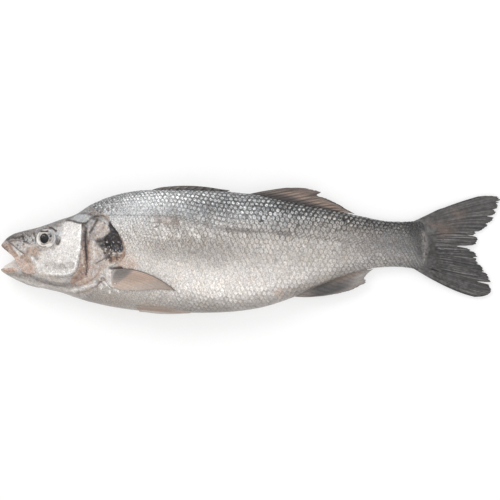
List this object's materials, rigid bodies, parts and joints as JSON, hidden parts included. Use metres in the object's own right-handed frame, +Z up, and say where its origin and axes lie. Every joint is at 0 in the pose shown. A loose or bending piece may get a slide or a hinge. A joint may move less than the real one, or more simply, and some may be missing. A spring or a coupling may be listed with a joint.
{
  "type": "whole sea bass",
  "caption": "Whole raw sea bass lying on its side: scaled body with open mouth, eyes, folded dorsal fin, forked ragged tail and paired fins.",
  "frame": {"origin": "on the resting surface, under the middle of the whole fish's box", "axes": "+X from the snout to the tail, +Y from the belly to the back, +Z up out of the left flank; the fish lies on its right flank"},
  "size_m": [0.4501, 0.1158, 0.0573],
  "materials": {
    "skin": "wet silvery scaled skin, dark grey on the back and pale on the belly",
    "eye": "wet glossy eyeball with black pupil and pale silver iris",
    "dark_fin": "damp dark grey rays and web with brownish patches",
    "pale_fin": "damp translucent pinkish brown web with grey rays"
  },
  "bodies": {
    "root": {"body": "skin", "eye_left": "eye", "eye_right": "eye", "dorsal_fin_first": "dark_fin", "dorsal_fin_second": "dark_fin", "anal_fin": "dark_fin", "caudal_fin": "dark_fin", "pectoral_fin_left": "pale_fin", "pectoral_fin_right": "pale_fin", "pelvic_fin_left": "pale_fin", "pelvic_fin_right": "pale_fin"}
  },
  "joints": []
}
